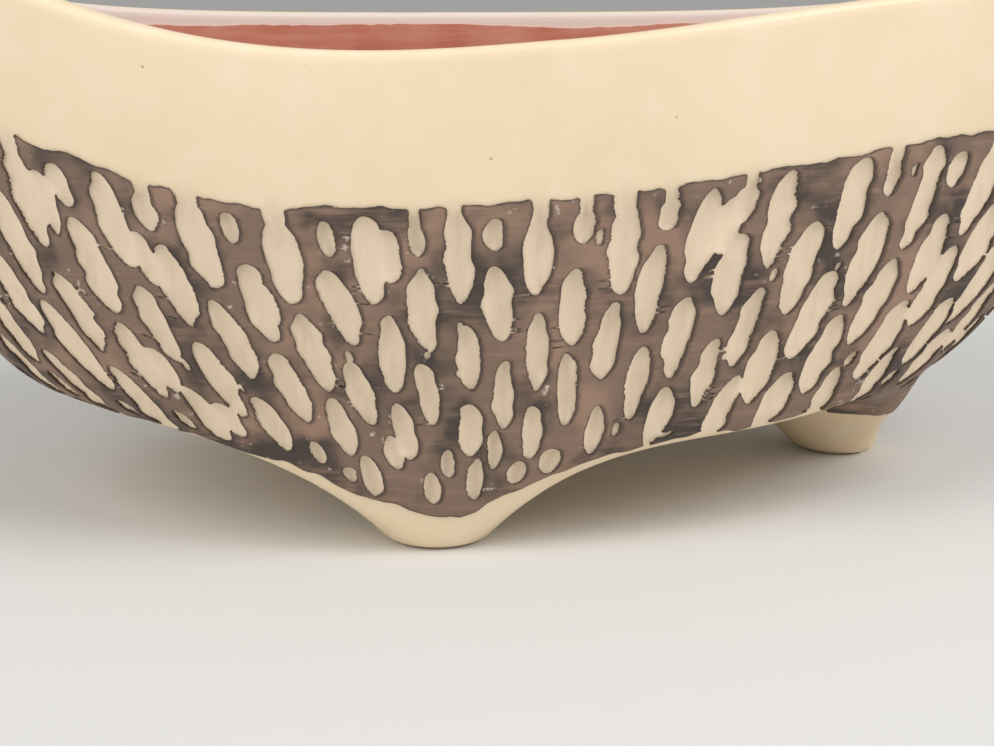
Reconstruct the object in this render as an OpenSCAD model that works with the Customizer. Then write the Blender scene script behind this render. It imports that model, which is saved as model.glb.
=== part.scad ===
// Boat-shaped jardiniere: a pale clay bowl on three luted feet, with a coat of brown slip on the
// outside of the wall and a coral coat on the inside. Millimetres, +Z up. The origin is on the
// ground below the middle of the bowl, +X runs along its length and -Y is its front.

/* [Bowl] */
// Length over the rim
bowl_length = 384; // [340:1:440]
// Width over the rim
bowl_width = 209; // [196:1:250]
// Squareness of the plan, where 2 is an ellipse
plan_power = 2.25; // [2:0.05:2.8]
// Thickness of the wall
wall = 7; // [5:0.5:10]
// Thickness of the floor
floor_thick = 9; // [6:0.5:14]
// Depth of the plain collar below the rim
collar_depth = 40; // [25:1:60]
// Fullness of the wall at the sides, where less is fuller
side_fullness = 1.13; // [0.7:0.01:1.5]
// Fullness of the wall at the ends, where less is fuller
end_fullness = 0.54; // [0.45:0.01:1]

/* [Rim] */
// Mean height of the rim above the ground
rim_height = 149; // [130:1:180]
// Rise of both ends and dip of both sides
saddle = 8.5; // [0:0.5:16]
// Lift of the left end and drop of the right end
end_tilt = 10.5; // [0:0.5:16]
// Bend that gathers the end lift close to the left end
end_bend = 6.3; // [0:0.1:9]
// Lift of the front side and drop of the rear side
side_tilt = 5.3; // [0:0.1:9]
// Bend of the front side against the rear side
side_bend = 3.3; // [0:0.1:6]
// Slow waviness of the hand-cut edge
rim_ripple = 2.6; // [0:0.1:4]
// Lift of the right end's tip
tip_lift = 17; // [0:1:26]

/* [Underside] */
// Height of the middle of the underside above the ground
underside_height = 29; // [20:1:40]
// Rise of the underside towards its two ends
keel_rise = 11; // [0:1:20]
// Length of the underside
base_length = 269; // [262:1:300]
// Width of the underside
base_width = 176; // [166:1:190]

/* [Feet] */
// Diameter of a foot where it stands
foot_d = 29; // [22:1:36]
// Diameter of a foot where it flares into the underside
foot_flare_d = 108; // [70:1:120]
// Hollowness of the flare, where 1 is a plain cone
flare_power = 1.05; // [1:0.05:3]
// Rounding of the standing edge
foot_round = 2; // [1:0.5:7]
// Distance of the front and rear feet to the left of the middle
side_feet_left = 27; // [15:1:50]
// Distance of the front and rear feet from the side edges of the underside
side_feet_inset = 27; // [20:0.5:32]
// Distance of the end foot from the right end of the underside
end_foot_inset = 16.5; // [16:0.5:45]
// Distance of the end foot behind the middle line
end_foot_back = 10; // [0:1:14]

/* [Coats] */
// Thickness of the brown slip
slip_thick = 0.9; // [0.5:0.1:1.5]
// Thickness of the coral coat
lining_thick = 0.8; // [0.5:0.1:1.5]
// Depth of the bare lip above the coral coat
lip_depth = 6; // [6:0.5:20]

/* [Carving] */
// Number of stroke columns around the wall
stroke_columns = 84; // [60:4:88]
// Number of strokes in a column
stroke_rows = 3; // [2:1:4]
// Mean width of a stroke, as a share of its column
stroke_width = 0.68; // [0.3:0.02:0.7]
// Extra width of the strokes towards the left end, as a share
stroke_swell = 0.1; // [0:0.05:0.15]
// Longest stroke, as a share of its cell
stroke_length = 0.94; // [0.6:0.02:0.94]
// Depth of a stroke into the clay
stroke_depth = 1.5; // [0.5:0.1:2.5]
// Unevenness of the hand-cut strokes
stroke_scatter = 1; // [0:0.1:1]

/* [Hidden] */

around = stroke_columns;
half_around = around / 2;
levels = 2 * stroke_rows;
girth_step = 0.5;
stroke_points = 6;
stroke_web = 0.04;
collar_rows = 3;
lining_rows = 8;
lip_steps = 4;
lip_radius = wall / 2;
row_crowding = 1.5;
level_crowding = 1.2;
tip_power = 6;
flare_steps = 8;
round_steps = 4;
cut_height = rim_height;

clay = [0.92, 0.84, 0.70];
brown_slip = [0.32, 0.25, 0.22];
coral = [0.74, 0.43, 0.34];

// The plan is a superellipse: these are its two unit coordinates at an angle
function signed_power(v, e) = sign(v) * pow(abs(v), e);
function plan_u(a) = signed_power(cos(a), 2 / plan_power);
function plan_v(a) = signed_power(sin(a), 2 / plan_power);

// Height of the hand-cut rim around the bowl
function rim_z(a) =
    rim_height + saddle * cos(2 * a)
    - end_tilt * cos(a) - end_bend * cos(3 * a)
    - side_tilt * sin(a) - side_bend * sin(3 * a)
    + rim_ripple * sin(4 * a)
    + tip_lift * pow(max(0, cos(a)), tip_power);

// Height of the underside at the unit coordinate u along the bowl
function keel_z(u) = underside_height + keel_rise * u * u;

function fullness(u) = side_fullness * (1 - u * u) + end_fullness * u * u;
function share(low, high, k) = low + (high - low) * k;

// A point of the wall, inset from the outer face. climb runs from 0 at the base edge, which
// base_up lifts, to 1 where the round lip starts.
function wall_point(a, climb, inset, base_up) =
    let (
        u = plan_u(a),
        v = plan_v(a),
        spread = pow(sin(90 * climb), fullness(u)),
        low = keel_z(u) + base_up,
        high = rim_z(a) - lip_radius
    )
    [
        u * (share(base_length, bowl_length, spread) / 2 - inset),
        v * (share(base_width, bowl_width, spread) / 2 - inset),
        share(low, high, climb)
    ];

// The climb that lies a given depth below the rim
function climb_below_rim(a, depth, base_up) =
    let (low = keel_z(plan_u(a)) + base_up)
    (rim_z(a) - depth - low) / (rim_z(a) - lip_radius - low);

// The columns stand evenly around the middle of the wall
function plan_spot(a) =
    [plan_u(a) * (bowl_length + base_length) / 4, plan_v(a) * (bowl_width + base_width) / 4];
girth_table = [
    for (
        a = 0, run = 0;
        a <= 360;
        run = run + norm(plan_spot(a + girth_step) - plan_spot(a)), a = a + girth_step
    )
    [run, a]
];
girth = girth_table[len(girth_table) - 1][0];
function angle(i) = lookup(girth * i / around, girth_table);
function crowded(k) = pow(k, row_crowding);

// A point of the carved band at a column and a level, which both may be parts of a number
function band_point(column, level, inset) =
    let (
        a = angle(column),
        top = climb_below_rim(a, collar_depth, 0)
    )
    wall_point(a, top * pow(level / levels, level_crowding), inset, -max(0, -inset));

// Rings of points: the band's levels, the collar's rows, the round lip and the lining's rows
function band_ring(level, inset) = [for (i = [0 : around - 1]) band_point(i, level, inset)];

function collar_ring(row) =
    [for (i = [0 : around - 1])
        let (low = climb_below_rim(angle(i), collar_depth, 0))
        wall_point(angle(i), share(low, 1, row / collar_rows), 0, 0)];

function lip_ring(step) =
    let (turn = 180 * step / lip_steps)
    [for (i = [0 : around - 1])
        wall_point(angle(i), 1, lip_radius * (1 - cos(turn)), 0) + [0, 0, lip_radius * sin(turn)]];

function lining_ring(row, coat) =
    [for (i = [0 : around - 1])
        let (top = climb_below_rim(angle(i), lip_depth, floor_thick))
        wall_point(angle(i), top * crowded(row / lining_rows), wall + coat, floor_thick + coat)];

// Triangles between ring r and the next ring of a loop, split along one or the other diagonal
function band_faces(r, next) =
    [for (i = [0 : around - 1], half = [0, 1])
        let (
            low = r * around + i,
            low_next = r * around + (i + 1) % around,
            high = next * around + i,
            high_next = next * around + (i + 1) % around
        )
        half == 0 ? [low, high, high_next] : [low, high_next, low_next]];

function cross_band_faces(r, next) =
    [for (i = [0 : around - 1], half = [0, 1])
        let (
            low = r * around + i,
            low_next = r * around + (i + 1) % around,
            high = next * around + i,
            high_next = next * around + (i + 1) % around
        )
        half == 0 ? [low, high, low_next] : [high, high_next, low_next]];

// The strokes: a column and a first level each. Every second column starts one level higher.
strokes = [for (i = [0 : around - 1], row = [0 : stroke_rows - 1 - i % 2]) [i, 2 * row + i % 2]];

// An uneven number from 0 to 1 that belongs to a stroke, and the same number from -1 to 1
function chance(stroke, draw) =
    let (v = 437 * sin(127.1 * stroke[0] + 311.7 * stroke[1] + 74.7 * draw))
    v - floor(v);
function either_way(stroke, draw) = stroke_scatter * (2 * chance(stroke, draw) - 1);

// Half width in columns, half length in levels, and the middle of a stroke
function stroke_half_width(stroke) =
    stroke_width / 2
    * (1 + 0.14 * either_way(stroke, 1))
    * (1 - stroke_swell * min(0, cos(angle(stroke[0] + 0.5))));
function stroke_half_length(stroke) = stroke_length * (1 - 0.18 * stroke_scatter * chance(stroke, 2));
function stroke_column(stroke) =
    stroke[0] + 0.5 + (0.5 - stroke_half_width(stroke) - stroke_web) * 0.8 * either_way(stroke, 3);
function stroke_level(stroke) =
    stroke[1] + 1 + (1 - stroke_half_length(stroke) - stroke_web) * either_way(stroke, 4);

// A point of a stroke: across runs from -1 to 1 and up from -1 at its tail to 1 at its head
function stroke_point(stroke, across, up, inset) =
    band_point(
        stroke_column(stroke) + across * stroke_half_width(stroke),
        stroke_level(stroke) + up * stroke_half_length(stroke),
        inset
    );
stroke_outline = [[-0.94, -0.45], [-0.94, 0.5], [0, 1], [0.94, 0.5], [0.94, -0.45], [0, -1]];
stroke_bed = [[0, 0.5], [0, -0.4]];
function outline_points(inset) =
    [for (stroke = strokes, p = stroke_outline) stroke_point(stroke, p[0], p[1], inset)];
function band_points(inset) =
    concat(joined([for (level = [0 : levels]) band_ring(level, inset)]), outline_points(inset));
function bed_points() =
    [for (stroke = strokes, p = stroke_bed) stroke_point(stroke, p[0], p[1], stroke_depth)];

// Triangles of the band around the strokes. Its rings start at point 0, its strokes at first.
function level_point(i, level) = level * around + i % around;
function cell_edge(stroke) =
    let (i = stroke[0], low = stroke[1])
    [
        level_point(i, low), level_point(i, low + 1), level_point(i, low + 2),
        level_point(i + 1, low + 2), level_point(i + 1, low + 1), level_point(i + 1, low)
    ];
function next_point(k) = (k + 1) % stroke_points;
function carved_faces(first) =
    [for (s = [0 : len(strokes) - 1], k = [0 : stroke_points - 1], half = [0, 1])
        let (
            edge = cell_edge(strokes[s]),
            own = first + s * stroke_points + k,
            next = first + s * stroke_points + next_point(k)
        )
        half == 0 ? [edge[k], edge[next_point(k)], own] : [next, own, edge[next_point(k)]]];
function half_cell_faces() =
    [for (i = [1 : 2 : around - 1], low = [0, levels - 1], half = [0, 1])
        half == 0
            ? [level_point(i, low), level_point(i, low + 1), level_point(i + 1, low + 1)]
            : [level_point(i, low), level_point(i + 1, low + 1), level_point(i + 1, low)]];

// Triangles of the strokes' hollow beds, whose points start at bed
function bed_faces(first, bed) =
    [for (s = [0 : len(strokes) - 1])
        let (
            o = [for (k = [0 : stroke_points - 1]) first + s * stroke_points + k],
            head = bed + 2 * s,
            tail = bed + 2 * s + 1
        )
        each [
            [o[0], o[1], head], [o[0], head, tail], [o[1], o[2], head], [o[2], o[3], head],
            [o[3], o[4], tail], [o[3], tail, head], [o[4], o[5], tail], [o[5], o[0], tail]
        ]];

// Triangles between an outer and an inner row of points, as the edge of a coat
function edge_faces(outer, outer_next, inner, inner_next) =
    [[outer, outer_next, inner_next], [outer, inner_next, inner]];

// Triangles that close a ring with strips across the bowl, seen from below or from above
function opposite(i) = (around - i) % around;
function strip_faces(ring) =
    [for (i = [0 : half_around - 1], half = [0, 1])
        if (half == 0 ? i < half_around - 1 : i > 0)
            let (first = ring * around)
            half == 0
                ? [first + i, first + i + 1, first + opposite(i + 1)]
                : [first + i, first + opposite(i + 1), first + opposite(i)]];
function turned(faces) = [for (f = faces) [f[0], f[2], f[1]]];
function joined(lists) = [for (list = lists) each list];

// The clay bowl: up the carved outside, over the lip, down the inside, with both floors closed
module bowl() {
    rings = concat(
        [for (level = [0 : levels]) band_ring(level, 0)],
        [for (row = [1 : collar_rows]) collar_ring(row)],
        [for (step = [1 : lip_steps]) lip_ring(step)],
        [for (row = [lining_rows : -1 : 0]) lining_ring(row, 0)]
    );
    last = len(rings) - 1;
    first = len(rings) * around;
    bed = first + len(strokes) * stroke_points;
    color(clay)
        polyhedron(
            points = concat(joined(rings), outline_points(0), bed_points()),
            faces = concat(
                carved_faces(first),
                half_cell_faces(),
                bed_faces(first, bed),
                joined([for (r = [levels : last - 1]) band_faces(r, r + 1)]),
                strip_faces(0),
                turned(strip_faces(last))
            )
        );
}

// The brown slip: a thin coat on the wall from the base edge to the collar, cut through by strokes
module slip_band() {
    outer = band_points(-slip_thick);
    inner = band_points(0);
    first = (levels + 1) * around;
    under = len(outer);
    sheet = concat(carved_faces(first), half_cell_faces());
    stroke_edges = [for (s = [0 : len(strokes) - 1], k = [0 : stroke_points - 1])
        let (
            own = first + s * stroke_points + k,
            next = first + s * stroke_points + next_point(k)
        )
        each edge_faces(own, next, under + own, under + next)];
    base_edges = [for (i = [0 : around - 1])
        let (own = level_point(i, 0), next = level_point(i + 1, 0))
        each edge_faces(own, next, under + own, under + next)];
    top_edges = [for (i = [0 : around - 1])
        let (own = level_point(i, levels), next = level_point(i + 1, levels))
        each edge_faces(next, own, under + next, under + own)];
    color(brown_slip)
        polyhedron(
            points = concat(outer, inner),
            faces = concat(
                sheet,
                turned([for (face = sheet) [for (p = face) under + p]]),
                stroke_edges,
                base_edges,
                top_edges
            )
        );
}

// The coral coat: a thin cup on the inside from the floor to the bare lip
module lining() {
    rings = concat(
        [for (row = [0 : lining_rows]) lining_ring(row, 0)],
        [for (row = [lining_rows : -1 : 0]) lining_ring(row, lining_thick)]
    );
    last = len(rings) - 1;
    color(coral)
        polyhedron(
            points = joined(rings),
            faces = concat(
                joined([for (r = [0 : last - 1])
                    r < lining_rows ? cross_band_faces(r, r + 1) : band_faces(r, r + 1)]),
                strip_faces(0),
                turned(strip_faces(last))
            )
        );
}

// Outline of a foot: a rounded standing edge and a hollow flare up to the underside
function foot_outline(flare_top) =
    concat(
        [[0, 0]],
        [for (k = [0 : round_steps])
            let (turn = 90 * k / round_steps)
            [foot_d / 2 - foot_round + foot_round * sin(turn), foot_round * (1 - cos(turn))]],
        [for (k = [1 : flare_steps])
            let (rise = k / flare_steps)
            [
                share(foot_d, foot_flare_d, pow(rise, flare_power)) / 2,
                share(foot_round, flare_top, rise)
            ]],
        [[foot_flare_d / 2, cut_height], [0, cut_height]]
    );

// Everything above the underside, in the same strips as the bowl's own
module above_underside() {
    low_edge = [for (i = [half_around : -1 : 0])
        let (u = plan_u(angle(i)))
        [u * base_length / 2, keel_z(u)]];
    rotate([90, 0, 0])
        linear_extrude(height = 2 * bowl_width, center = true)
            polygon(concat(
                [[-bowl_length, cut_height], [-bowl_length, keel_z(1)]],
                low_edge,
                [[bowl_length, keel_z(1)], [bowl_length, 2 * cut_height], [-bowl_length, 2 * cut_height]]
            ));
}

// The space straight below the underside, so that a flare ends flush with the base edge
module below_underside() {
    linear_extrude(height = cut_height)
        polygon([for (i = [0 : around - 1])
            [plan_u(angle(i)) * base_length / 2, plan_v(angle(i)) * base_width / 2]]);
}

// One foot, seated on the underside at x, y
module foot(x, y) {
    flare_top = keel_z(2 * x / base_length);
    color(clay)
        difference() {
            intersection() {
                translate([x, y, 0])
                    rotate_extrude()
                        polygon(foot_outline(flare_top));
                below_underside();
            }
            above_underside();
        }
}

module front_foot() {
    foot(-side_feet_left, side_feet_inset - base_width / 2);
}

module rear_foot() {
    foot(-side_feet_left, base_width / 2 - side_feet_inset);
}

module end_foot() {
    foot(base_length / 2 - end_foot_inset, end_foot_back);
}

bowl();
front_foot();
rear_foot();
end_foot();
slip_band();
lining();
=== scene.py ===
from math import pi, radians

import bpy
import numpy as np
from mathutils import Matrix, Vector


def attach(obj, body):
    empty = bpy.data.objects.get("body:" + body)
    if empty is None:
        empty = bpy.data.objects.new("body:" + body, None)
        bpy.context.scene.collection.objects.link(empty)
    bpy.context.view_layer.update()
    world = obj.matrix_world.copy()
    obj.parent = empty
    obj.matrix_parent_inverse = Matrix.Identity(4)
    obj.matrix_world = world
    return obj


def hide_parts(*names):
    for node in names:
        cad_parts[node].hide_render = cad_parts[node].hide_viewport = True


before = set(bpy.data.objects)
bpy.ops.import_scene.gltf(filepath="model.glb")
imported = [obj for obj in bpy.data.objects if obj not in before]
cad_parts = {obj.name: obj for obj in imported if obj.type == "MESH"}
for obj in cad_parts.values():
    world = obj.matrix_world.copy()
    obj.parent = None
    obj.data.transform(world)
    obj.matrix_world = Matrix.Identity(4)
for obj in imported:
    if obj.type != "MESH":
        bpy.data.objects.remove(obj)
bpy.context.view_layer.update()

# Sizes of the bowl in millimetres, the same as its solids have
MM = 0.001
BOWL_LENGTH = 384
BOWL_WIDTH = 209
PLAN_POWER = 2.25
WALL = 7
FLOOR_THICK = 9
COLLAR_DEPTH = 40
SIDE_FULLNESS = 1.13
END_FULLNESS = 0.54
RIM_HEIGHT = 149
SADDLE = 8.5
END_TILT = 10.5
END_BEND = 6.3
SIDE_TILT = 5.3
SIDE_BEND = 3.3
RIM_RIPPLE = 2.6
TIP_LIFT = 17
TIP_POWER = 6
LIP_RADIUS = WALL / 2
UNDERSIDE_HEIGHT = 29
KEEL_RISE = 11
BASE_LENGTH = 269
BASE_WIDTH = 176
FEET = {"front_foot": (-27, -61), "rear_foot": (-27, 61), "end_foot": (118, 10)}

# The feet's flare, and how the clay is smoothed into it
STANDING_RADIUS = 11.4
FOOT_RADIUS = 15.5
FOOT_ROUND = 1.5
FOOT_EDGE_POWER = 1.6
FLARE_START = 0.9
FLARE_GROWTH = 0.014
FLARE_MELT = 12.5
DROP_LEAN = {"front_foot": 0.3, "rear_foot": 0.3, "end_foot": 0.75}
FOOT_MARGIN = 1.8
BASE_FILLET = 8
BASE_FILLET_GROWTH = 0.85
BASE_FILLET_SHARE = 4
NECK_FILLET = 16
NECK_SHARE = 0.9
NECK_GROWTH = 0.55
INSIDE_FILLET = 20
LIP_POWER = 3.4
FOOT_TOP = 12
FOOT_SEAM = 0.2

# How finely the surface is divided
COLUMNS = 1120
FINE_ANGLES = 8001
PROFILE_STEPS = 220
COLLAR_ROWS = 36
WALL_ROWS = 280
FOOT_ROWS = 46
UNDER_ROWS = 30
LIP_ROWS = 10
INSIDE_ROWS = 40
FLOOR_ROWS = 20
FOOT_SHARE = 0.46
CLAY_STEP = 2
BODY_TRIANGLES = 185000

SEED = 7
rng = np.random.default_rng(SEED)


def signed_power(value, power):
    return np.sign(value) * np.abs(value) ** power


def plan(angle):
    """The two unit coordinates of the superellipse plan."""
    power = 2 / PLAN_POWER
    return signed_power(np.cos(angle), power), signed_power(np.sin(angle), power)


def rim_z(angle):
    return (
        RIM_HEIGHT
        + SADDLE * np.cos(2 * angle)
        - END_TILT * np.cos(angle)
        - END_BEND * np.cos(3 * angle)
        - SIDE_TILT * np.sin(angle)
        - SIDE_BEND * np.sin(3 * angle)
        + RIM_RIPPLE * np.sin(4 * angle)
        + TIP_LIFT * np.maximum(0, np.cos(angle)) ** TIP_POWER
    )


def keel_z(u):
    return UNDERSIDE_HEIGHT + KEEL_RISE * u * u


def wall_point(angle, climb, inset, base_up):
    """A point of the wall. climb runs from 0 at the base edge to 1 where the round lip starts."""
    u, v = plan(angle)
    fullness = SIDE_FULLNESS * (1 - u * u) + END_FULLNESS * u * u
    spread = np.sin(pi / 2 * np.clip(climb, 0, 1)) ** fullness
    low = keel_z(u) + base_up
    high = rim_z(angle) - LIP_RADIUS
    length = BASE_LENGTH + (BOWL_LENGTH - BASE_LENGTH) * spread
    width = BASE_WIDTH + (BOWL_WIDTH - BASE_WIDTH) * spread
    return np.stack([u * (length / 2 - inset), v * (width / 2 - inset), low + (high - low) * climb], -1)


def climb_below_rim(angle, depth, base_up):
    low = keel_z(plan(angle)[0]) + base_up
    return (rim_z(angle) - depth - low) / (rim_z(angle) - LIP_RADIUS - low)


def even_angles():
    """Angles of the columns, evenly spaced around the middle of the wall, with the seam at the rear."""
    fine = np.linspace(pi / 2, pi / 2 + 2 * pi, FINE_ANGLES)
    u, v = plan(fine)
    x = u * (BOWL_LENGTH + BASE_LENGTH) / 4
    y = v * (BOWL_WIDTH + BASE_WIDTH) / 4
    run = np.concatenate([[0], np.cumsum(np.hypot(np.diff(x), np.diff(y)))])
    return np.interp(np.linspace(0, run[-1], COLUMNS + 1), run, fine), run[-1]


def melt(a, b, reach):
    """The lower of two heights, with a soft hollow where they meet."""
    share = np.clip(0.5 + 0.5 * (b - a) / reach, 0, 1)
    return b + (a - b) * share - reach * share * (1 - share)


def flare_z(distance):
    """Height of a foot's surface at a distance from its axis."""
    beyond = np.maximum(distance - FOOT_RADIUS, 0)
    rise = (np.sqrt(FLARE_START**2 + 4 * FLARE_GROWTH * beyond) - FLARE_START) / (2 * FLARE_GROWTH)
    edge = np.clip((distance - STANDING_RADIUS) / (FOOT_RADIUS - STANDING_RADIUS), 0, 1)
    return FOOT_ROUND * edge**FOOT_EDGE_POWER + rise


def underside_z(x, y):
    height = keel_z(2 * x / BASE_LENGTH)
    for foot_x, foot_y in FEET.values():
        height = melt(height, flare_z(np.hypot(x - foot_x, y - foot_y)), FLARE_MELT)
    return height


def to_nearest_foot(points):
    """For points: the level unit directions to the axis of the nearest foot, the distances to it,
    and how much the clay above it leans in."""
    reach = np.array(list(FEET.values()))[None] - points[:, None, :2]
    length = np.linalg.norm(reach, axis=2)
    nearest = length.argmin(1)
    row = np.arange(len(points))
    distance = length[row, nearest]
    lean = np.array([DROP_LEAN[name] for name in FEET])
    return reach[row, nearest] / distance[:, None], distance, lean[nearest]


def run_along(line):
    """Length along each column of an array of points, rows by columns by 3."""
    steps = np.linalg.norm(np.diff(line, axis=0), axis=2)
    return np.concatenate([np.zeros((1, line.shape[1])), np.cumsum(steps, axis=0)])


def sample(line, run, at):
    """Points of each column at the given lengths along it."""
    found = np.empty(at.shape + (3,))
    for column in range(line.shape[1]):
        for axis in range(3):
            found[:, column, axis] = np.interp(at[:, column], run[:, column], line[:, column, axis])
    return found


def rounded(line, corner, reach_before, reach_after):
    """The same columns with a soft bend instead of the corner at a length along them."""
    run = run_along(line)
    before = sample(line, run, (corner - reach_before)[None])
    at_corner = sample(line, run, corner[None])
    after = sample(line, run, (corner + reach_after)[None])
    reach = np.where(run < corner, reach_before, reach_after) + 1e-6
    t = ((run - corner) / (2 * reach) + 0.5)[..., None]
    bend = (1 - t) ** 2 * before + 2 * t * (1 - t) * at_corner + t**2 * after
    return np.where((t > 0) & (t < 1), bend, line)


def spread_rows(start, stop, count, last=False):
    steps = np.linspace(0, 1, count + 1)[:, None]
    rows = start + (stop - start) * steps
    return rows if last else rows[:-1]


def outside_form(angles):
    """Rows of points from the lip over the collar, the wall and the feet to the middle of the underside.
    Also gives each row's distance below the collar and the place of the base edge on each column."""
    band = climb_below_rim(angles, COLLAR_DEPTH, 0)
    steps = np.linspace(0, 1, PROFILE_STEPS)[:, None]
    collar = wall_point(angles[None], 1 + (band - 1) * steps, 0, 0)
    wall = wall_point(angles[None], band * (1 - steps) ** 2, 0, 0)
    edge = wall[-1]
    fall = edge[:, 2] - underside_z(edge[:, 0], edge[:, 1])
    foot_edge = edge.copy()
    inwards, distance, lean = to_nearest_foot(edge)
    lean = np.minimum(lean * fall, np.maximum(distance - STANDING_RADIUS - FOOT_MARGIN, 0))
    foot_edge[:, :2] += inwards * lean[:, None]
    foot_edge[:, 2] = np.minimum(underside_z(foot_edge[:, 0], foot_edge[:, 1]), edge[:, 2])
    drop = edge + (foot_edge - edge) * steps[..., None]
    under = foot_edge * (1 - steps[..., None])
    under[..., 2] = underside_z(under[..., 0], under[..., 1])
    line = np.concatenate([wall, drop[1:], under[1:]])
    run = run_along(line)
    neck = np.minimum(NECK_FILLET, NECK_SHARE * fall)
    neck += NECK_GROWTH * np.maximum(fall - NECK_FILLET / NECK_SHARE, 0)
    line = rounded(line, run[PROFILE_STEPS - 1], neck, neck)
    run = run_along(line)
    corner = run[2 * PROFILE_STEPS - 2]
    turn = np.clip(distance - lean - STANDING_RADIUS, FOOT_ROUND, BASE_FILLET)
    bend = np.minimum(BASE_FILLET + BASE_FILLET_GROWTH * fall, BASE_FILLET_SHARE * turn)
    line = rounded(line, corner, bend, turn)
    line = np.concatenate([collar[:-1], line])
    run = run_along(line)
    top = run[PROFILE_STEPS - 1]
    corner = run[3 * PROFILE_STEPS - 3]
    foot_end = corner + (run[-1] - corner) * FOOT_SHARE
    at = np.concatenate([
        spread_rows(0 * top, top, COLLAR_ROWS),
        spread_rows(top, corner, WALL_ROWS),
        spread_rows(corner, foot_end, FOOT_ROWS),
        spread_rows(foot_end, run[-1], UNDER_ROWS, last=True),
    ])
    return sample(line, run, at), at - top, corner - top


def inside_form(angles):
    """Rows of points from the middle of the inner floor up the inner wall to the lip."""
    steps = np.linspace(0, 1, PROFILE_STEPS)[:, None]
    wall = wall_point(angles[None], steps**2, WALL, FLOOR_THICK)
    floor = np.repeat(wall[:1], PROFILE_STEPS, 0) * steps[..., None]
    u = 2 * floor[..., 0] / (BASE_LENGTH - 2 * WALL)
    floor[..., 2] = keel_z(u) + FLOOR_THICK
    line = np.concatenate([floor, wall[1:]])
    run = run_along(line)
    corner = run[PROFILE_STEPS - 1]
    line = rounded(line, corner, INSIDE_FILLET + 0 * corner, INSIDE_FILLET + 0 * corner)
    run = run_along(line)
    corner = run[PROFILE_STEPS - 1]
    at = np.concatenate([
        spread_rows(0 * corner, corner, FLOOR_ROWS),
        spread_rows(corner, run[-1], INSIDE_ROWS, last=True),
    ])
    return sample(line, run, at), run[-1] - at


def lip_form(angles):
    """Rows over the lip, from the inner wall to the outer one, without its two edges."""
    turns = np.linspace(pi, 0, LIP_ROWS + 1)[1:-1, None]
    side = signed_power(np.cos(turns), 2 / LIP_POWER)
    rise = signed_power(np.sin(turns), 2 / LIP_POWER)
    rows = wall_point(angles[None], 1 + 0 * turns, LIP_RADIUS * (1 - side), 0)
    rows[..., 2] += LIP_RADIUS * rise
    return rows


def normals_of(points):
    """Unit normals of rows of points whose first and last columns are the same."""
    ring = np.concatenate([points[:, -2:-1], points, points[:, 1:2]], 1)
    across = ring[:, 2:] - ring[:, :-2]
    along = np.gradient(points, axis=0)
    normal = np.cross(along, across)
    return normal / np.maximum(np.linalg.norm(normal, axis=2, keepdims=True), 1e-9)


angles, girth = even_angles()
outside, below_collar, base_edge = outside_form(angles)
inside, below_lip = inside_form(angles)
outward = normals_of(outside)
column_gap = np.linalg.norm(np.diff(outside, axis=1), axis=2)
column_gap = np.concatenate([column_gap, column_gap[:, :1]], 1)


# The carved strokes: columns, levels, widths and lengths are the same as the solids have
STROKE_COLUMNS = 84
STROKE_ROWS = 3
STROKE_WIDTH = 0.68
STROKE_SWELL = 0.1
STROKE_LENGTH = 0.94
STROKE_WEB = 0.04
WIDTH_SPREAD = 0.14
LENGTH_SPREAD = 0.18
SHIFT_SHARE = 0.8
LEVELS = 2 * STROKE_ROWS
LEVEL_CROWDING = 1.2
CHANCE_SCALE = 437
CHANCE_STEPS = (127.1, 311.7, 74.7)

# The form of one stroke. Lengths are in millimetres on the surface. A pair is a range, but TORN_SIDES
# says how much of the tear each side gets.
STROKE_DEPTH = 1.2
STROKE_BOW = 0.12
HEAD_POWERS = (1.8, 3.4)
HEAD_ROUND = 0.55
TAIL_POWERS = (1.7, 2.9)
TAIL_ROUND = 0.62
TEAR_SPACING = 0.45
EDGE_TEAR = 0.2
TORN_SIDES = (1, 0.25)
UNEVEN_SPACING = 3.4
UNEVEN_SHARE = 0.18
UNEVEN_MOST = 0.7
SCOOP_NARROWEST = 0.2
SCOOP_POWER = 2.4
SCOOP_END_POWER = 0.6
SCOOP_WAVE = 0.1
SCOOP_SPACING = 5
SCOOP_FADE = (-3, 5)
WINDOW_MARGIN = 3

# What the hand adds to the strokes, in the same units
RIGHT_CROWDING = 0.58
RIGHT_TOP_CROWDING = 0.28
RIGHT_TIP_SHARE = 0.55
RIGHT_SIDE_SHARE = 0.9
LEFT_CROWDING = 0.14
STROKE_LEAN = 0.04
STROKE_TEAR = (0.08, 0.3)
BREAK_SHARE = 0.45
BREAK_DEPTH = 8
BREAK_WIDTH = (0.5, 0.9)
BREAK_ASIDE = 0.5
MERGE_SHARE = 0.26
MERGE_MIDDLE = 0.6
MERGE_ASIDE = (1.1, 1.5)
MERGE_DOWN = (-0.3, 0.8)
MERGE_WIDTH = 0.85
MERGE_LENGTH = 0.6
DRAG_SHARE = 0.3
DRAG_MOST = 3
DRAG_UP = 0.6
DRAG_HALF_WIDTH = (1.2, 2.4)
DRAG_HALF_LENGTH = (0.2, 0.4)
DRAG_DEPTH = 0.2
DRAG_TEAR = 0.1
SHORT_SHARE = 0.8
SHORT_ASIDE = 0.15
SHORT_HEAD = (2.5, 4)
SHORT_TAIL = (1, 3)
SHORT_HALF_WIDTH = (0.2, 0.32)
FILL_TRIES = 1500
FILL_WEB = 1.7
FILL_HALF_LENGTH = (2.4, 7)
FILL_HALF_WIDTH = (1.8, 3.3)
FILL_WIDEST = 0.8
FILL_SPREAD = 14
FILL_TOP = 3
CHIP_COUNT = 60
CHIP_DOWN = (3, 70)
CHIP_HALF_WIDTH = (0.5, 1.2)
CHIP_HALF_LENGTH = (0.8, 2.4)
CHIP_DEPTH = 0.3
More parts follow.
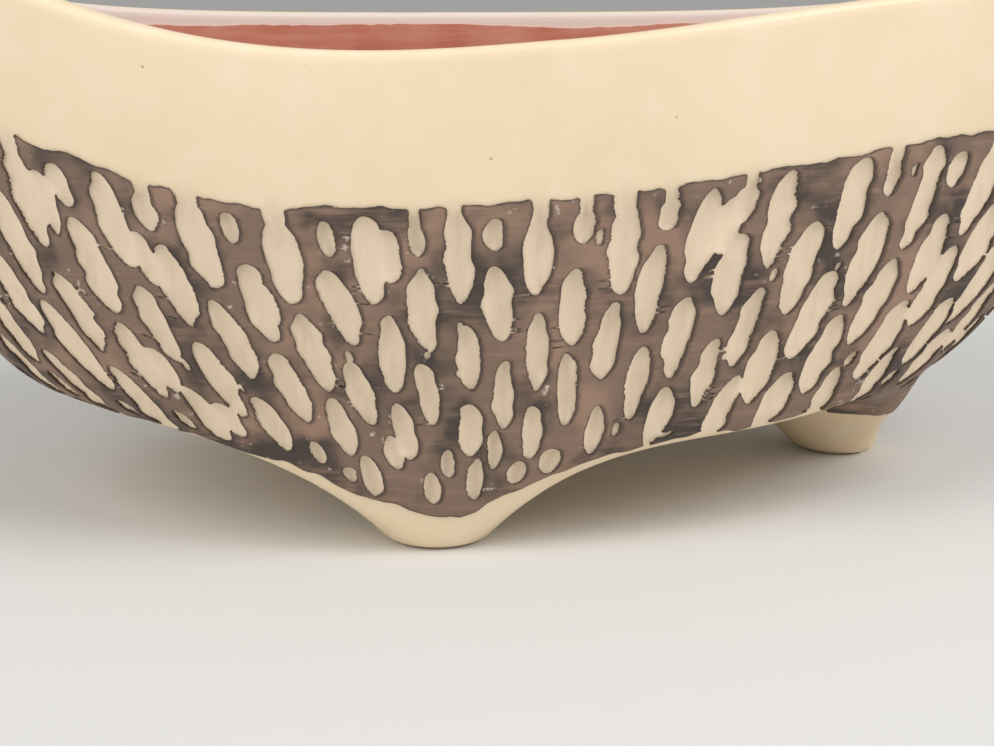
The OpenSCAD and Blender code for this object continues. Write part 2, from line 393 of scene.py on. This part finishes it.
UNCUT = -50.0

# The edges of the coat of slip: how bare the feet are, and waves of an amount and a spacing
BARE_EDGE = 1.6
BARE_END = 21
END_WRAP = 24
END_WRAP_REACH = (4 * FOOT_RADIUS, 5 * FOOT_RADIUS)
TOP_WAVES = ((0.9, 8), (0.9, 27), (0.45, 3.2), (0.2, 1.6))
LOW_WAVES = ((0.9, 5), (1.2, 17))

columns_at = np.linspace(0, girth, COLUMNS + 1)


def wander(at, spacing, around):
    """Smooth random values from -1 to 1 along a closed line, with turns about a spacing apart."""
    count = max(3, round(around / spacing))
    values = rng.uniform(-1, 1, count)
    place = np.asarray(at) / around * count
    low = np.floor(place).astype(int)
    share = place - low
    share = share * share * (3 - 2 * share)
    return values[low % count] * (1 - share) + values[(low + 1) % count] * share


def smooth_step(value, low, high):
    share = np.clip((value - low) / (high - low), 0, 1)
    return share * share * (3 - 2 * share)


def wavy(waves):
    """An uneven line around the bowl, from waves of an amount and a spacing."""
    return sum(amount * wander(columns_at, spacing, girth) for amount, spacing in waves)


def slip_ends():
    """Where the coat of slip starts and ends on each column. It runs a little way down the end foot."""
    top = wavy(TOP_WAVES)
    rows_above = np.logical_and.accumulate(outside[..., 2] > BARE_END).sum(0)
    bare_end = below_collar[np.minimum(rows_above, len(outside) - 1), np.arange(COLUMNS + 1)]
    corner = outside[COLLAR_ROWS + WALL_ROWS, :, :2]
    from_end = np.linalg.norm(corner - FEET["end_foot"], axis=1)
    low = base_edge - BARE_EDGE + END_WRAP * (1 - smooth_step(from_end, *END_WRAP_REACH))
    low = np.where(corner[:, 0] > BOWL_LENGTH / 6, np.minimum(low, bare_end), low)
    return top, low + wavy(LOW_WAVES)


top_edge, low_edge = slip_ends()
cut = np.full(below_collar.shape, UNCUT)
hollow = np.zeros(below_collar.shape)


def stroke_window(place, down, half_width, half_length):
    """Rows and columns of the surface around a stroke, and its place among the columns."""
    middle = place / girth * COLUMNS
    reach = (half_width + WINDOW_MARGIN + 1) / column_gap[COLLAR_ROWS : COLLAR_ROWS + WALL_ROWS].min()
    columns = np.arange(int(middle - reach), int(middle + reach) + 2)
    heights = below_collar[:, int(middle) % COLUMNS]
    first = np.searchsorted(heights, down - half_length - WINDOW_MARGIN)
    last = np.searchsorted(heights, down + half_length + WINDOW_MARGIN)
    return np.ix_(np.arange(first, last), columns % COLUMNS), columns - middle


def gouge(place, down, half_width, half_length, lean=0.0, depth=STROKE_DEPTH, torn=EDGE_TEAR, web=None):
    """Cuts one leaf-shaped stroke: round at its top, pointed below, with uneven and torn edges.
    With a web given, cuts it only where that much of the coat is left beside older strokes."""
    window, offset = stroke_window(place, down, half_width, half_length)
    y = below_collar[window] - down
    x = offset * column_gap[window] + lean * y
    along = y / half_length
    x += rng.normal(0, STROKE_BOW) * half_width * along**2
    head = signed_power(1 - np.abs(along) ** rng.uniform(*HEAD_POWERS), HEAD_ROUND)
    tail = signed_power(1 - np.abs(along) ** rng.uniform(*TAIL_POWERS), TAIL_ROUND)
    width = half_width * np.where(along < 0, head, tail)
    if web and (np.minimum(width - np.abs(x), cut[window]) > -web / 2).any():
        return
    span = 2 * (half_length + WINDOW_MARGIN)
    uneven = min(UNEVEN_MOST, UNEVEN_SHARE * half_width)
    side_torn = torn * rng.permutation(TORN_SIDES)
    left = -width + side_torn[0] * wander(y, TEAR_SPACING, span) + uneven * wander(y, UNEVEN_SPACING, span)
    right = width + side_torn[1] * wander(y, TEAR_SPACING, span) + uneven * wander(y, UNEVEN_SPACING, span)
    cut[window] = np.maximum(cut[window], np.minimum(x - left, right - x))
    across = np.abs(x) / np.maximum(width, SCOOP_NARROWEST * half_width)
    scoop = depth * np.clip(1 - across**SCOOP_POWER, 0, 1)
    scoop *= np.clip(width / half_width, 0, 1) ** SCOOP_END_POWER
    scoop *= 1 + SCOOP_WAVE * wander(y, SCOOP_SPACING, span)
    hollow[window] = np.maximum(hollow[window], scoop)


def chance(column, level, draw):
    """The solids' own uneven number from 0 to 1 for a stroke."""
    turn = np.dot(CHANCE_STEPS, (column, level, draw))
    value = CHANCE_SCALE * np.sin(radians(turn))
    return value - np.floor(value)


def either_way(column, level, draw):
    return 2 * chance(column, level, draw) - 1


def girth_place(column):
    """Place along the girth, from the rear seam, of a column counted from the right end."""
    return (column / STROKE_COLUMNS - 0.25) % 1 * girth


def band_depth(place, level):
    """Distance below the collar of a level of the band."""
    column = round(place / girth * COLUMNS) % COLUMNS
    top = climb_below_rim(angles[column], COLLAR_DEPTH, 0)
    height = wall_point(angles[column], top * (level / LEVELS) ** LEVEL_CROWDING, 0, 0)[2]
    rows = slice(COLLAR_ROWS, COLLAR_ROWS + WALL_ROWS + 1)
    return np.interp(-height, -outside[rows, column, 2], below_collar[rows, column])


def column_width(place, down):
    """Width of a stroke column on the surface."""
    column = round(place / girth * COLUMNS) % COLUMNS
    row = np.searchsorted(below_collar[:, column], down)
    return column_gap[row, column] * COLUMNS / STROKE_COLUMNS


def break_out(place, head, half_width):
    """A slot from the head of a stroke out through the top edge of the coat."""
    slot = half_width * rng.uniform(*BREAK_WIDTH)
    aside = rng.uniform(-BREAK_ASIDE, BREAK_ASIDE) * (half_width - slot)
    gouge(place + aside, head, slot, BREAK_DEPTH)


def lay_stroke(column, level):
    """One of the solids' strokes, with what the hand adds: a head that breaks out through the
    coat's top edge, a second stroke that runs into it, and drag lines beside its tail."""
    angle = np.interp(girth_place(column + 0.5), columns_at, angles)
    half_width = STROKE_WIDTH / 2 * (1 + WIDTH_SPREAD * either_way(column, level, 1))
    half_width *= 1 - STROKE_SWELL * min(0, np.cos(angle))
    half_length = STROKE_LENGTH * (1 - LENGTH_SPREAD * chance(column, level, 2))
    shift = (0.5 - half_width - STROKE_WEB) * SHIFT_SHARE * either_way(column, level, 3)
    middle = level + 1 + (1 - half_length - STROKE_WEB) * either_way(column, level, 4)
    place = girth_place(column + 0.5 + shift)
    head = band_depth(place, middle + half_length)
    tail = band_depth(place, middle - half_length)
    down = (head + tail) / 2
    half_width *= column_width(place, down)
    right = RIGHT_CROWDING if level < LEVELS - 2 else RIGHT_TOP_CROWDING
    right *= max(0, np.cos(angle)) * (RIGHT_TIP_SHARE + RIGHT_SIDE_SHARE * abs(np.sin(angle)))
    half_width *= 1 + right + LEFT_CROWDING * max(0, -np.cos(angle))
    if level == LEVELS - 2 and rng.random() < BREAK_SHARE:
        break_out(place, head, half_width)
    reach = (tail - head) / 2
    lean = rng.normal(0, STROKE_LEAN)
    gouge(place, down, half_width, reach, lean, torn=rng.uniform(*STROKE_TEAR))
    if rng.random() < MERGE_SHARE * (MERGE_MIDDLE - np.cos(angle)):
        beside = place + rng.choice([-1, 1]) * half_width * rng.uniform(*MERGE_ASIDE)
        beside_down = down + reach * rng.uniform(*MERGE_DOWN)
        gouge(beside, beside_down, MERGE_WIDTH * half_width, MERGE_LENGTH * reach, lean)
    if rng.random() < DRAG_SHARE:
        side = place + rng.choice([-1, 1]) * half_width
        for line in range(rng.integers(1, DRAG_MOST + 1)):
            line_down = tail - reach * rng.uniform(0, DRAG_UP)
            line_width = rng.uniform(*DRAG_HALF_WIDTH)
            line_height = rng.uniform(*DRAG_HALF_LENGTH)
            gouge(side, line_down, line_width, line_height, depth=DRAG_DEPTH, torn=DRAG_TEAR)


def lay_short_stroke(column):
    """A short stroke in the room that is left at the top of a column."""
    place = girth_place(column + 0.5 + rng.uniform(-SHORT_ASIDE, SHORT_ASIDE))
    tail = band_depth(place, LEVELS - 1) - rng.uniform(*SHORT_TAIL)
    head = rng.uniform(*SHORT_HEAD)
    half_width = rng.uniform(*SHORT_HALF_WIDTH) * column_width(place, tail)
    gouge(place, (head + tail) / 2, half_width, (tail - head) / 2)
    if rng.random() < BREAK_SHARE:
        break_out(place, head, half_width)


def lay_strokes():
    """The staggered columns of strokes. Every second column starts one level higher."""
    for column in range(STROKE_COLUMNS):
        for level in range(column % 2, LEVELS - 1, 2):
            lay_stroke(column, level)
        if column % 2 and rng.random() < SHORT_SHARE:
            lay_short_stroke(column)


def lay_small_cuts():
    """Short strokes where room is left, most of them near the feet, and small chips in the coat."""
    lowest = np.minimum(low_edge, base_edge)
    for attempt in range(FILL_TRIES):
        place = rng.uniform(0, girth)
        half_length = rng.uniform(*FILL_HALF_LENGTH)
        down = np.interp(place, columns_at, lowest) - half_length
        down -= rng.exponential(FILL_SPREAD)
        half_width = min(rng.uniform(*FILL_HALF_WIDTH), FILL_WIDEST * half_length)
        gouge(place, max(down, half_length + FILL_TOP), half_width, half_length, web=FILL_WEB)
    for chip in range(CHIP_COUNT):
        place = rng.uniform(0, girth)
        down = rng.uniform(*CHIP_DOWN)
        half_width = rng.uniform(*CHIP_HALF_WIDTH)
        half_length = rng.uniform(*CHIP_HALF_LENGTH)
        gouge(place, down, half_width, half_length, depth=CHIP_DEPTH)


lay_strokes()
lay_small_cuts()
hollow *= smooth_step(below_collar, *SCOOP_FADE)
for field in (cut, hollow):
    field[:, COLUMNS] = field[:, 0]

# The coat of slip is left where it is above zero
coat = np.minimum(np.minimum(below_collar - top_edge, low_edge - below_collar), -cut)

# Crumbs of slip that fit in a square of this reach, in grid points, fall off
CRUMB_REACH = 4


def count_near(flags, reach):
    """How many flags are set in a square around each point of the surface."""
    side = 2 * reach + 1
    padded = np.pad(np.pad(flags, ((reach, reach), (0, 0))), ((0, 0), (reach, reach)), mode="wrap")
    return np.lib.stride_tricks.sliding_window_view(padded, (side, side)).sum((2, 3))


def drop_crumbs():
    """Takes away the small bits of the coat that stand alone between strokes."""
    for reach in range(2, CRUMB_REACH + 1):
        kept = coat > 0
        alone = count_near(kept, reach) == count_near(kept, reach - 1)
        coat[kept & (count_near(alone, reach - 1) > 0)] = UNCUT


drop_crumbs()

# Painted shade darkens the coat along its cut edges, where the raised edge stands in shadow, over a broad
# line on one side of a stroke and a fine one on the other
FINE_EDGE = 0.5
BROAD_EDGE = 1.5
DARK_SHARE = 0.3
side_of_cut = np.clip(np.gradient(coat, axis=1) / column_gap, 0, 1)
edge_reach = FINE_EDGE + (BROAD_EDGE - FINE_EDGE) * side_of_cut
painted_edge_shade = 1 - smooth_step(coat / edge_reach, DARK_SHARE, 1)

# How far the slip stands out at its edges and away from them, its thickness, and its rows and sides
SLIP_EDGE = 0.5
SLIP_FULL = 0.7
SLIP_RISE = 0.5
SLIP_SOLID = 1.3
SLIP_SPARE_ROWS = 4
SLIP_FOOT_ROWS = 24
SLIP_SIDES = ("rear_left", "left", "front_left", "front_right", "right", "rear_right")

# How near points are merged and cut, in metres, and how near a crossing comes to a cell's corner
SAME_POINT = 1e-6
ON_CUT = 1e-7
CROSSING_MARGIN = 0.06

# Where the clay counts as cut: across a stroke's edge, and down from the collar
GOUGED_EDGE = (-0.6, 0.4)
GOUGED_TOP = (0, 5)

# Angles in degrees up to which edges are smooth
SLIP_SMOOTH = 45
CLAY_SMOOTH = 50

# Corners and edge crossings of a cell that bound the kept part, for each pattern of kept corners
CELL_SHAPES = {
    1: [(0, 4, 7)],
    2: [(1, 5, 4)],
    3: [(0, 1, 5, 7)],
    4: [(2, 6, 5)],
    5: [(0, 4, 7), (2, 6, 5)],
    6: [(1, 2, 6, 4)],
    7: [(0, 1, 2, 6, 7)],
    8: [(3, 7, 6)],
    9: [(0, 4, 6, 3)],
    10: [(1, 5, 4), (3, 7, 6)],
    11: [(0, 1, 5, 6, 3)],
    12: [(2, 3, 7, 5)],
    13: [(0, 4, 5, 2, 3)],
    14: [(1, 2, 3, 7, 4)],
    15: [(0, 1, 2, 3)],
}


def deselect():
    if bpy.context.object and bpy.context.object.mode != "OBJECT":
        bpy.ops.object.mode_set(mode="OBJECT")
    bpy.ops.object.select_all(action="DESELECT")


def choose(piece):
    deselect()
    piece.select_set(True)
    bpy.context.view_layer.objects.active = piece


def edit(piece):
    """Opens a piece in edit mode with all of it selected."""
    choose(piece)
    bpy.ops.object.mode_set(mode="EDIT")
    bpy.ops.mesh.select_all(action="SELECT")


def leave_edit():
    bpy.ops.object.mode_set(mode="OBJECT")


def apply_modifier(piece, kind, **settings):
    choose(piece)
    bpy.ops.object.modifier_add(type=kind)
    modifier = piece.modifiers[-1]
    for name, value in settings.items():
        setattr(modifier, name, value)
    bpy.ops.object.modifier_apply(modifier=modifier.name)


def mark(piece, name, values):
    """Stores one number for each point of a piece, for its finish to read."""
    attribute = piece.data.attributes.new(name, "FLOAT", "POINT")
    attribute.data.foreach_set("value", np.ascontiguousarray(values, np.float32).ravel())


def grid_piece(name, points):
    """A grid bent to rows of points in millimetres."""
    rows, columns = points.shape[:2]
    deselect()
    bpy.ops.mesh.primitive_grid_add(x_subdivisions=columns - 1, y_subdivisions=rows - 1, size=1)
    piece = bpy.context.object
    piece.name = name
    piece.data.name = name
    piece.data.vertices.foreach_set("co", (points * MM).astype(np.float32).ravel())
    piece.data.update()
    return piece


def sew(piece, closed=True):
    """Closes the seam and the poles of a grid. Turns the faces of a closed one outwards."""
    edit(piece)
    bpy.ops.mesh.remove_doubles(threshold=SAME_POINT)
    if closed:
        bpy.ops.mesh.normals_make_consistent(inside=False)
    leave_edit()


def soften(piece, angle):
    choose(piece)
    bpy.ops.object.shade_smooth_by_angle(angle=radians(angle))


def slice_level(piece, height, keep="both"):
    """Cuts a piece level at a height. With only one side kept, it closes the cut."""
    edit(piece)
    bpy.ops.mesh.bisect(
        plane_co=(0, 0, height * MM),
        plane_no=(0, 0, 1),
        use_fill=keep != "both",
        clear_inner=keep == "above",
        clear_outer=keep == "below",
        threshold=ON_CUT,
    )
    leave_edit()


def clipped_sheet(name, field, points, shade):
    """The part of a grid where a field is positive, cut cleanly along its zero line.
    Gives the piece and the shade at its points, which is 1 along the cut."""
    rows, columns = field.shape
    node = np.arange(rows * columns).reshape(rows, columns)
    level = node.size + np.arange(rows * (columns - 1)).reshape(rows, columns - 1)
    upright = node.size + level.size + np.arange((rows - 1) * columns).reshape(rows - 1, columns)

    def crossing(first, second, first_point, second_point):
        share = first / np.where(first == second, 1, first - second)
        share = np.clip(share, CROSSING_MARGIN, 1 - CROSSING_MARGIN)[..., None]
        return (first_point + (second_point - first_point) * share).reshape(-1, 3)

    spots = np.concatenate([
        points.reshape(-1, 3),
        crossing(field[:, :-1], field[:, 1:], points[:, :-1], points[:, 1:]),
        crossing(field[:-1], field[1:], points[:-1], points[1:]),
    ])
    amounts = np.concatenate([shade.ravel(), np.ones(level.size + upright.size)])
    corners = [
        node[:-1, :-1], node[:-1, 1:], node[1:, 1:], node[1:, :-1],
        level[:-1], upright[:, 1:], level[1:], upright[:, :-1],
    ]
    kept = field > 0
    pattern = kept[:-1, :-1] + 2 * kept[:-1, 1:] + 4 * kept[1:, 1:] + 8 * kept[1:, :-1]
    faces = []
    for code, shapes in CELL_SHAPES.items():
        here = pattern == code
        for shape in shapes:
            faces += np.stack([corners[k][here] for k in reversed(shape)], 1).tolist()
    used = np.unique(np.concatenate([np.asarray(face) for face in faces]))
    renumber = np.zeros(len(spots), int)
    renumber[used] = np.arange(len(used))
    faces = [renumber[face].tolist() for face in faces]
    mesh = bpy.data.meshes.new(name)
    mesh.from_pydata((spots[used] * MM).tolist(), [], faces)
    piece = bpy.data.objects.new(name, mesh)
    bpy.context.scene.collection.objects.link(piece)
    return piece, amounts[used]


def make_slip(side):
    """One side of the slip coat, as a closed thin shell let into the clay."""
    first, last = (COLUMNS * (SLIP_SIDES.index(side) + end) // len(SLIP_SIDES) for end in (0, 1))
    columns = np.arange(first, last + 1) % COLUMNS
    rows = np.arange(COLLAR_ROWS - SLIP_SPARE_ROWS, COLLAR_ROWS + WALL_ROWS + SLIP_FOOT_ROWS)
    window = np.ix_(rows, columns)
    field = coat[window]
    lift = SLIP_EDGE + (SLIP_FULL - SLIP_EDGE) * smooth_step(field, 0, SLIP_RISE)
    points = outside[window] + outward[window] * lift[..., None]
    piece, shade = clipped_sheet("slip_" + side, field, points, painted_edge_shade[window])
    # The painted shade along the coat's cut edges is stored on its points
    mark(piece, "painted_edge_shade", shade)
    apply_modifier(piece, "SOLIDIFY", thickness=SLIP_SOLID * MM, offset=-1, use_even_offset=False)
    soften(piece, SLIP_SMOOTH)
    return piece


def make_clay():
    """The clay bowl and its three feet, cut from one smoothed body."""
    carved = outside - outward * hollow[..., None]
    gouged = smooth_step(cut, *GOUGED_EDGE) * smooth_step(below_collar, *GOUGED_TOP)
    coarse = (slice(None, None, CLAY_STEP), slice(None, None, CLAY_STEP))
    rows = np.concatenate([inside[:, coarse[1]], lip_form(angles)[:, coarse[1]], carved[coarse]])
    body = grid_piece("bowl_clay", rows)
    cut_clay = np.zeros(rows.shape[:2])
    cut_clay[-len(gouged[coarse]) :] = gouged[coarse]
    mark(body, "gouged", cut_clay)
    # The inside above the lining and the inner part of the lip are paler clay, whitened further by a
    # painted highlight where they face the light from above
    lip_pale_and_highlight = np.zeros(rows.shape[:2])
    lip_pale_and_highlight[: len(inside) + LIP_ROWS // 3] = 1
    mark(body, "lip", lip_pale_and_highlight)
    sew(body)
    triangles = sum(len(face.vertices) - 2 for face in body.data.polygons)
    apply_modifier(body, "DECIMATE", ratio=min(1, BODY_TRIANGLES / triangles))
    for beside in (-FOOT_SEAM, FOOT_SEAM):
        slice_level(body, FOOT_TOP + beside)
    choose(body)
    bpy.ops.object.duplicate()
    stumps = bpy.context.object
    slice_level(stumps, FOOT_TOP, keep="below")
    slice_level(body, FOOT_TOP, keep="above")
    edit(stumps)
    bpy.ops.mesh.separate(type="LOOSE")
    leave_edit()
    feet = {}
    for stump in list(bpy.context.selected_objects):
        middle = np.mean([corner[:] for corner in stump.bound_box], 0) / MM
        node = min(FEET, key=lambda name: np.hypot(*(middle[:2] - FEET[name])))
        stump.name = node + "_clay"
        stump.data.name = stump.name
        feet[node] = stump
    for piece in (body, *feet.values()):
        soften(piece, CLAY_SMOOTH)
    return body, feet


# The coral coat: its brushed top edge below the rim, and its thickness
LINING_EDGE = 4.5
LINING_WAVES = ((0.25, 3), (0.6, 13), (1.1, 45))
LINING_HIGHEST = 0.05
LINING_FULL = 0.5
LINING_SOLID = 1.0
LINING_RISE = (-0.6, 5)
LINING_ROW_POWER = 0.8
LINING_COLUMN_STEP = 2
LINING_TOP_ROWS = 12


def make_lining():
    """The coral coat, brushed over the inside up to a loose edge below the lip."""
    edge = np.maximum(LINING_EDGE - LIP_RADIUS + wavy(LINING_WAVES), LINING_HIGHEST)
    run = below_lip[0] - below_lip
    rows = np.linspace(0, 1, FLOOR_ROWS + INSIDE_ROWS + LINING_TOP_ROWS)[:, None]
    at = (below_lip[0] - edge) * rows**LINING_ROW_POWER
    points = sample(inside, run, at)
    inward = -normals_of(points)
    lift = LINING_FULL * smooth_step(below_lip[0] - edge - at, *LINING_RISE)
    piece = grid_piece("coral_lining", (points - inward * lift[..., None])[:, ::LINING_COLUMN_STEP])
    sew(piece, closed=False)
    apply_modifier(piece, "SOLIDIFY", thickness=LINING_SOLID * MM, offset=-1, use_even_offset=False)
    soften(piece, CLAY_SMOOTH)
    return piece


class Value:
    """A shader value. Python's operators on it add Math nodes."""

    def __init__(self, look, socket):
        self.look = look
        self.socket = socket

    def math(self, operation, first, second):
        return self.look.add("ShaderNodeMath", {"operation": operation}, {0: first, 1: second})

    def __add__(self, other):
        return self.math("ADD", self, other)

    def __radd__(self, other):
        return self.math("ADD", other, self)

    def __sub__(self, other):
        return self.math("SUBTRACT", self, other)

    def __rsub__(self, other):
        return self.math("SUBTRACT", other, self)

    def __mul__(self, other):
        return self.math("MULTIPLY", self, other)

    def __rmul__(self, other):
        return self.math("MULTIPLY", other, self)


class Look:
    """A material with one Principled shader, fed by nodes."""

    def __init__(self, name):
        self.material = bpy.data.materials.new(name)
        self.material.use_nodes = True
        self.nodes = self.material.node_tree.nodes
        self.links = self.material.node_tree.links
        self.shader = self.nodes["Principled BSDF"]

    def feed(self, socket, value):
        if isinstance(value, Value):
            self.links.new(value.socket, socket)
        else:
            socket.default_value = value

    def add(self, kind, settings, sockets, output=0):
        """Adds a node: its settings first, then the values or links of its sockets."""
        node = self.nodes.new(kind)
        for name, value in settings.items():
            setattr(node, name, value)
        for name, value in sockets.items():
            self.feed(node.inputs[name], value)
        return Value(self, node.outputs[output])

    def place(self, scale=(1, 1, 1)):
        """The piece's own coordinates in metres, stretched."""
        spot = self.add("ShaderNodeTexCoord", {}, {}, "Object")
        return self.add("ShaderNodeMapping", {}, {"Vector": spot, "Scale": scale})

    def cloud(self, place, scale, detail=3.0, roughness=0.55):
        sockets = {"Vector": place, "Scale": scale, "Detail": detail, "Roughness": roughness}
        return self.add("ShaderNodeTexNoise", {}, sockets, 0)

    def attribute(self, name):
        return self.add("ShaderNodeAttribute", {"attribute_name": name}, {}, "Fac")

    def between(self, value, low, high):
        """0 below low, 1 above high, and a soft step between."""
        sockets = {"Value": value, "From Min": low, "From Max": high}
        return self.add("ShaderNodeMapRange", {"interpolation_type": "SMOOTHSTEP"}, sockets)

    def blend(self, share, first, second):
        settings = {"data_type": "RGBA"}
        return self.add("ShaderNodeMix", settings, {0: share, 6: first, 7: second}, 2)

    def specks(self, place, scale, size):
        """1 on small round specks, 0 between them."""
        distance = self.add("ShaderNodeTexVoronoi", {}, {"Vector": place, "Scale": scale}, "Distance")
        return 1 - self.between(distance, size * 0.6, size)

    def bump(self, height, strength, depth):
        sockets = {"Strength": strength, "Distance": depth, "Height": height}
        return self.add("ShaderNodeBump", {}, sockets)

    def finish(self, **sockets):
        for name, value in sockets.items():
            self.feed(self.shader.inputs[name.replace("_", " ")], value)
        return self.material


def paint(red, green, blue):
    """A display colour from 0 to 255 as the shader's own linear colour."""
    share = np.array([red, green, blue]) / 255
    linear = np.where(share <= 0.04045, share / 12.92, ((share + 0.055) / 1.055) ** 2.4)
    return (*linear.tolist(), 1.0)


CREAM = paint(243, 222, 189)
CREAM_PALE = paint(244, 230, 204)
CREAM_DEEP = paint(238, 215, 179)
# Paler clay of the lip, whitened further as a painted highlight from the light above
LIP_PALE_AND_HIGHLIGHT = paint(230, 215, 203)
CUT_CLAY = paint(238, 217, 190)
CUT_SHADE = paint(222, 199, 170)
PIT = paint(168, 146, 118)
BROWN = paint(128, 105, 89)
BROWN_GREY = paint(68, 58, 52)
BROWN_WARM = paint(164, 132, 111)
# Colour of the painted shade along the coat's cut edges
BROWN_EDGE_SHADE = paint(58, 47, 41)
SPECK = paint(205, 192, 180)
CORAL = paint(196, 132, 110)
CORAL_DEEP = paint(182, 105, 82)
CORAL_PALE = paint(212, 158, 137)
FLOOR = paint(222, 221, 218)


def clay_look():
    """Cream clay: satin and faintly mottled where it is burnished, dull and grainy where it is cut."""
    look = Look("cream_clay")
    place = look.place()
    mottle = look.between(look.cloud(place, 14), 0.3, 0.75)
    patch = look.between(look.cloud(place, 85), 0.45, 0.7)
    grain = look.cloud(place, 1100, 2.0)
    drag = look.cloud(look.place((300, 300, 45)), 1, 3.0)
    gouged = look.attribute("gouged")
    skin = look.blend(mottle, CREAM, CREAM_DEEP)
    skin = look.blend(patch * 0.3, skin, CREAM_PALE)
    # Paler lip clay with a painted highlight where the lip faces the light from above
    skin = look.blend(look.attribute("lip"), skin, LIP_PALE_AND_HIGHLIGHT)
    pits = look.specks(place, 95, 0.045) * (1 - gouged)
    skin = look.blend(pits * 0.7, skin, PIT)
    fresh = look.blend(look.between(drag, 0.4, 0.8) * 0.6, CUT_CLAY, CUT_SHADE)
    colour = look.blend(gouged, skin, fresh)
    relief = grain * 0.3 + drag * gouged * 0.35 - pits * 1.2
    return look.finish(
        Base_Color=colour,
        Roughness=0.42 + 0.3 * gouged + 0.1 * patch,
        Normal=look.bump(relief, 0.35, 0.0006),
    )


def slip_look():
    """Brown slip: matt, brushed level around the wall, with painted shade along its edges, and pale flakes.
    """
    look = Look("brown_slip")
    place = look.place()
    streak = look.cloud(look.place((45, 45, 420)), 1, 5.0, 0.62)
    patch = look.cloud(place, 45, 3.0)
    colour = look.blend(look.between(patch, 0.43, 0.62), BROWN, BROWN_GREY)
    warm = look.between(look.cloud(place, 36, 3.0), 0.5, 0.68)
    colour = look.blend(warm * 0.8, colour, BROWN_WARM)
    colour = look.blend(look.between(streak, 0.48, 0.74) * 0.5, colour, BROWN_WARM)
    # Painted shade along the cut edges of the coat
    colour = look.blend(look.attribute("painted_edge_shade") * 0.8, colour, BROWN_EDGE_SHADE)
    flakes = look.between(look.cloud(place, 330), 0.64, 0.7) * look.between(look.cloud(place, 60), 0.5, 0.6)
    colour = look.blend(flakes * 0.75, colour, SPECK)
    return look.finish(
        Base_Color=colour,
        Roughness=0.55 + 0.2 * streak,
        Normal=look.bump(streak * 0.8 + flakes * 0.5, 0.4, 0.0005),
    )


def coral_look():
    """Coral coat: dry and chalky, brushed around the inside."""
    look = Look("coral_coat")
    brush = look.cloud(look.place((26, 26, 300)), 1, 4.0, 0.6)
    patch = look.between(look.cloud(look.place(), 40), 0.36, 0.7)
    colour = look.blend(look.between(brush, 0.3, 0.75), CORAL_DEEP, CORAL)
    colour = look.blend(patch * 0.4, colour, CORAL_PALE)
    return look.finish(
        Base_Color=colour,
        Roughness=0.72 + 0.1 * brush,
        Normal=look.bump(brush, 0.3, 0.0005),
    )


def floor_look():
    look = Look("pale_floor")
    return look.finish(Base_Color=FLOOR, Roughness=0.8)


def dress(piece, node, material):
    piece.data.materials.clear()
    piece.data.materials.append(material)
    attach(piece, "root")
    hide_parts(node)


clay = clay_look()
slip = slip_look()
bowl, feet = make_clay()
dress(bowl, "bowl", clay)
for node, foot in feet.items():
    dress(foot, node, clay)
for side in SLIP_SIDES:
    dress(make_slip(side), "slip_band", slip)
dress(make_lining(), "lining", coral_look())

# The stage, in metres, watts and degrees
FLOOR_SIZE = 30
LIGHT_AIM = (0, 0, 0.1)
LIGHT_SIZE = 1.2
LIGHTS = {"key": ((1.0, -0.9, 1.4), 22), "fill": ((-1.3, -0.8, 1.2), 16)}
WORLD_STRENGTH = 0.42
CAMERA_PLACE = (-0.0992, -0.5781, 0.1757)
CAMERA_PITCH = 13.79
CAMERA_TURN = -9.83
SENSOR_WIDTH = 36
LENS = 69.23


def make_floor():
    deselect()
    bpy.ops.mesh.primitive_plane_add(size=FLOOR_SIZE, location=(0, 0, 0))
    floor = bpy.context.object
    floor.name = "floor"
    floor.data.materials.append(floor_look())


def make_light(name, spot, power):
    deselect()
    bpy.ops.object.light_add(type="AREA", location=spot)
    light = bpy.context.object
    light.name = name
    light.data.size = LIGHT_SIZE
    light.data.energy = power
    toward = Vector(LIGHT_AIM) - Vector(spot)
    light.rotation_euler = toward.to_track_quat("-Z", "Y").to_euler()


def make_world():
    world = bpy.data.worlds.new("studio")
    bpy.context.scene.world = world
    world.use_nodes = True
    background = world.node_tree.nodes["Background"]
    background.inputs["Color"].default_value = (1, 1, 1, 1)
    background.inputs["Strength"].default_value = WORLD_STRENGTH


def make_camera():
    deselect()
    bpy.ops.object.camera_add(location=CAMERA_PLACE)
    camera = bpy.context.object
    camera.name = "camera"
    camera.rotation_euler = (radians(90 - CAMERA_PITCH), 0, radians(CAMERA_TURN))
    camera.data.sensor_width = SENSOR_WIDTH
    camera.data.lens = LENS
    bpy.context.scene.camera = camera


make_floor()
for name, (spot, power) in LIGHTS.items():
    make_light(name, spot, power)
make_world()
make_camera()
bpy.context.scene.view_settings.view_transform = "Standard"
